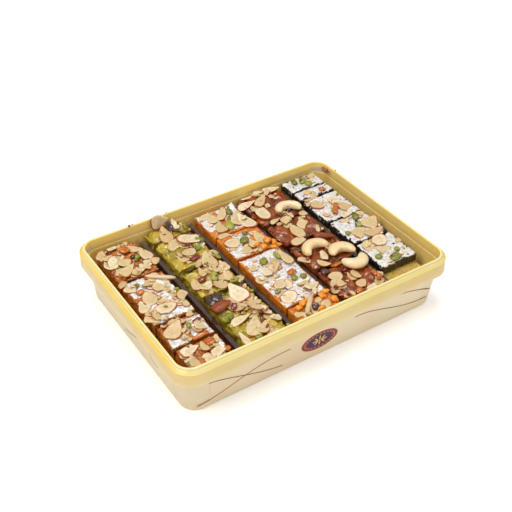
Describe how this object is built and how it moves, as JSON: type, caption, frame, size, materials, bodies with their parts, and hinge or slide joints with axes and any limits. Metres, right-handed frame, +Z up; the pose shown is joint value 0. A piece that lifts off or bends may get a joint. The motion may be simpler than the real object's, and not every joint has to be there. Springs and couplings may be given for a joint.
{
  "type": "mithai sweet box",
  "caption": "Rectangular moulded plastic sweet tub with a rolled rim, a clear channelled insert tray and rows of nut-topped barfi and loaves that lift out.",
  "frame": {"origin": "on the table under the middle of the tub's base", "axes": "+X along the tub's long side, +Y from its front wall to its back wall, +Z up out of its open top"},
  "size_m": [0.25, 0.1816, 0.0535],
  "materials": {
    "tub_plastic": "injection-moulded polypropylene, satin gloss",
    "label_print": "printed in-mould film",
    "tray_clear": "clear thermoformed sheet",
    "cream_barfi": "soft milk sweet, cut",
    "almond_barfi": "dense roasted nut sweet with silver leaf",
    "pista_loaf": "coarse pistachio loaf",
    "kesar_barfi": "saffron sweet with silver leaf",
    "fig_roll": "glossy fig and date paste",
    "chocolate_barfi": "dark chocolate sweet with silver leaf",
    "almond": "sliced almond",
    "cashew": "whole cashew",
    "pistachio": "pistachio sliver"
  },
  "bodies": {
    "tub": {"tub": "tub_plastic", "label_front": "label_print", "label_back": "label_print", "label_left": "label_print", "label_right": "label_print"},
    "insert_tray": {"insert_tray": "tray_clear"},
    "lower_slab_1": {"lower_slab_1": "cream_barfi"},
    "almond_barfi_1": {"almond_barfi_1": "almond_barfi", "almond_flakes_1": "almond"},
    "almond_barfi_2": {"almond_barfi_2": "almond_barfi", "almond_flakes_2": "almond"},
    "almond_barfi_3": {"almond_barfi_3": "almond_barfi", "almond_flakes_3": "almond"},
    "almond_barfi_4": {"almond_barfi_4": "almond_barfi", "almond_flakes_4": "almond"},
    "lower_slab_2": {"lower_slab_2": "cream_barfi"},
    "pista_loaf_1": {"pista_loaf_1": "pista_loaf", "pista_flakes_1": "almond"},
    "pista_loaf_2": {"pista_loaf_2": "pista_loaf", "pista_flakes_2": "almond"},
    "pista_loaf_3": {"pista_loaf_3": "pista_loaf", "pista_flakes_3": "almond"},
    "pista_loaf_4": {"pista_loaf_4": "pista_loaf", "pista_flakes_4": "almond"},
    "lower_slab_3": {"lower_slab_3": "cream_barfi"},
    "kesar_barfi_1": {"kesar_barfi_1": "kesar_barfi", "kesar_flakes_1": "almond"},
    "kesar_barfi_2": {"kesar_barfi_2": "kesar_barfi", "kesar_flakes_2": "almond"},
    "kesar_barfi_3": {"kesar_barfi_3": "kesar_barfi", "kesar_flakes_3": "almond"},
    "kesar_barfi_4": {"kesar_barfi_4": "kesar_barfi", "kesar_flakes_4": "almond"},
    "lower_slab_4": {"lower_slab_4": "cream_barfi"},
    "fig_roll_1": {"fig_roll_1": "fig_roll", "fig_cashews_1": "cashew"},
    "fig_roll_2": {"fig_roll_2": "fig_roll", "fig_flakes_2": "almond"},
    "fig_roll_3": {"fig_roll_3": "fig_roll", "fig_cashews_3": "cashew"},
    "fig_roll_4": {"fig_roll_4": "fig_roll", "fig_cashews_4": "cashew"},
    "lower_slab_5": {"lower_slab_5": "cream_barfi"},
    "cream_layer": {"cream_layer": "cream_barfi"},
    "chocolate_barfi_1": {"chocolate_barfi_1": "chocolate_barfi", "chocolate_pistachios_1": "pistachio"},
    "chocolate_barfi_2": {"chocolate_barfi_2": "chocolate_barfi"},
    "chocolate_barfi_3": {"chocolate_barfi_3": "chocolate_barfi", "chocolate_flakes_3": "almond"},
    "chocolate_barfi_4": {"chocolate_barfi_4": "chocolate_barfi", "chocolate_flakes_4": "almond"},
    "chocolate_barfi_5": {"chocolate_barfi_5": "chocolate_barfi", "chocolate_pistachios_5": "pistachio"}
  },
  "joints": [
    {"name": "tray_lift", "type": "slide", "parent": "tub", "child": "insert_tray", "axis": [0, 0, 1], "range_m": [0, 0.055]},
    {"name": "lower_slab_1_lift", "type": "slide", "parent": "insert_tray", "child": "lower_slab_1", "axis": [0, 0, 1], "range_m": [0, 0.055]},
    {"name": "almond_barfi_1_lift", "type": "slide", "parent": "lower_slab_1", "child": "almond_barfi_1", "axis": [0, 0, 1], "range_m": [0, 0.035]},
    {"name": "almond_barfi_2_lift", "type": "slide", "parent": "lower_slab_1", "child": "almond_barfi_2", "axis": [0, 0, 1], "range_m": [0, 0.035]},
    {"name": "almond_barfi_3_lift", "type": "slide", "parent": "lower_slab_1", "child": "almond_barfi_3", "axis": [0, 0, 1], "range_m": [0, 0.035]},
    {"name": "almond_barfi_4_lift", "type": "slide", "parent": "lower_slab_1", "child": "almond_barfi_4", "axis": [0, 0, 1], "range_m": [0, 0.035]},
    {"name": "lower_slab_2_lift", "type": "slide", "parent": "insert_tray", "child": "lower_slab_2", "axis": [0, 0, 1], "range_m": [0, 0.055]},
    {"name": "pista_loaf_1_lift", "type": "slide", "parent": "lower_slab_2", "child": "pista_loaf_1", "axis": [0, 0, 1], "range_m": [0, 0.035]},
    {"name": "pista_loaf_2_lift", "type": "slide", "parent": "lower_slab_2", "child": "pista_loaf_2", "axis": [0, 0, 1], "range_m": [0, 0.035]},
    {"name": "pista_loaf_3_lift", "type": "slide", "parent": "lower_slab_2", "child": "pista_loaf_3", "axis": [0, 0, 1], "range_m": [0, 0.035]},
    {"name": "pista_loaf_4_lift", "type": "slide", "parent": "lower_slab_2", "child": "pista_loaf_4", "axis": [0, 0, 1], "range_m": [0, 0.035]},
    {"name": "lower_slab_3_lift", "type": "slide", "parent": "insert_tray", "child": "lower_slab_3", "axis": [0, 0, 1], "range_m": [0, 0.055]},
    {"name": "kesar_barfi_1_lift", "type": "slide", "parent": "lower_slab_3", "child": "kesar_barfi_1", "axis": [0, 0, 1], "range_m": [0, 0.035]},
    {"name": "kesar_barfi_2_lift", "type": "slide", "parent": "lower_slab_3", "child": "kesar_barfi_2", "axis": [0, 0, 1], "range_m": [0, 0.035]},
    {"name": "kesar_barfi_3_lift", "type": "slide", "parent": "lower_slab_3", "child": "kesar_barfi_3", "axis": [0, 0, 1], "range_m": [0, 0.035]},
    {"name": "kesar_barfi_4_lift", "type": "slide", "parent": "lower_slab_3", "child": "kesar_barfi_4", "axis": [0, 0, 1], "range_m": [0, 0.035]},
    {"name": "lower_slab_4_lift", "type": "slide", "parent": "insert_tray", "child": "lower_slab_4", "axis": [0, 0, 1], "range_m": [0, 0.055]},
    {"name": "fig_roll_1_lift", "type": "slide", "parent": "lower_slab_4", "child": "fig_roll_1", "axis": [0, 0, 1], "range_m": [0, 0.035]},
    {"name": "fig_roll_2_lift", "type": "slide", "parent": "lower_slab_4", "child": "fig_roll_2", "axis": [0, 0, 1], "range_m": [0, 0.035]},
    {"name": "fig_roll_3_lift", "type": "slide", "parent": "lower_slab_4", "child": "fig_roll_3", "axis": [0, 0, 1], "range_m": [0, 0.035]},
    {"name": "fig_roll_4_lift", "type": "slide", "parent": "lower_slab_4", "child": "fig_roll_4", "axis": [0, 0, 1], "range_m": [0, 0.035]},
    {"name": "lower_slab_5_lift", "type": "slide", "parent": "insert_tray", "child": "lower_slab_5", "axis": [0, 0, 1], "range_m": [0, 0.055]},
    {"name": "cream_layer_lift", "type": "slide", "parent": "lower_slab_5", "child": "cream_layer", "axis": [0, 0, 1], "range_m": [0, 0.035]},
    {"name": "chocolate_barfi_1_lift", "type": "slide", "parent": "cream_layer", "child": "chocolate_barfi_1", "axis": [0, 0, 1], "range_m": [0, 0.025]},
    {"name": "chocolate_barfi_2_lift", "type": "slide", "parent": "cream_layer", "child": "chocolate_barfi_2", "axis": [0, 0, 1], "range_m": [0, 0.025]},
    {"name": "chocolate_barfi_3_lift", "type": "slide", "parent": "cream_layer", "child": "chocolate_barfi_3", "axis": [0, 0, 1], "range_m": [0, 0.025]},
    {"name": "chocolate_barfi_4_lift", "type": "slide", "parent": "cream_layer", "child": "chocolate_barfi_4", "axis": [0, 0, 1], "range_m": [0, 0.025]},
    {"name": "chocolate_barfi_5_lift", "type": "slide", "parent": "cream_layer", "child": "chocolate_barfi_5", "axis": [0, 0, 1], "range_m": [0, 0.025]}
  ]
}
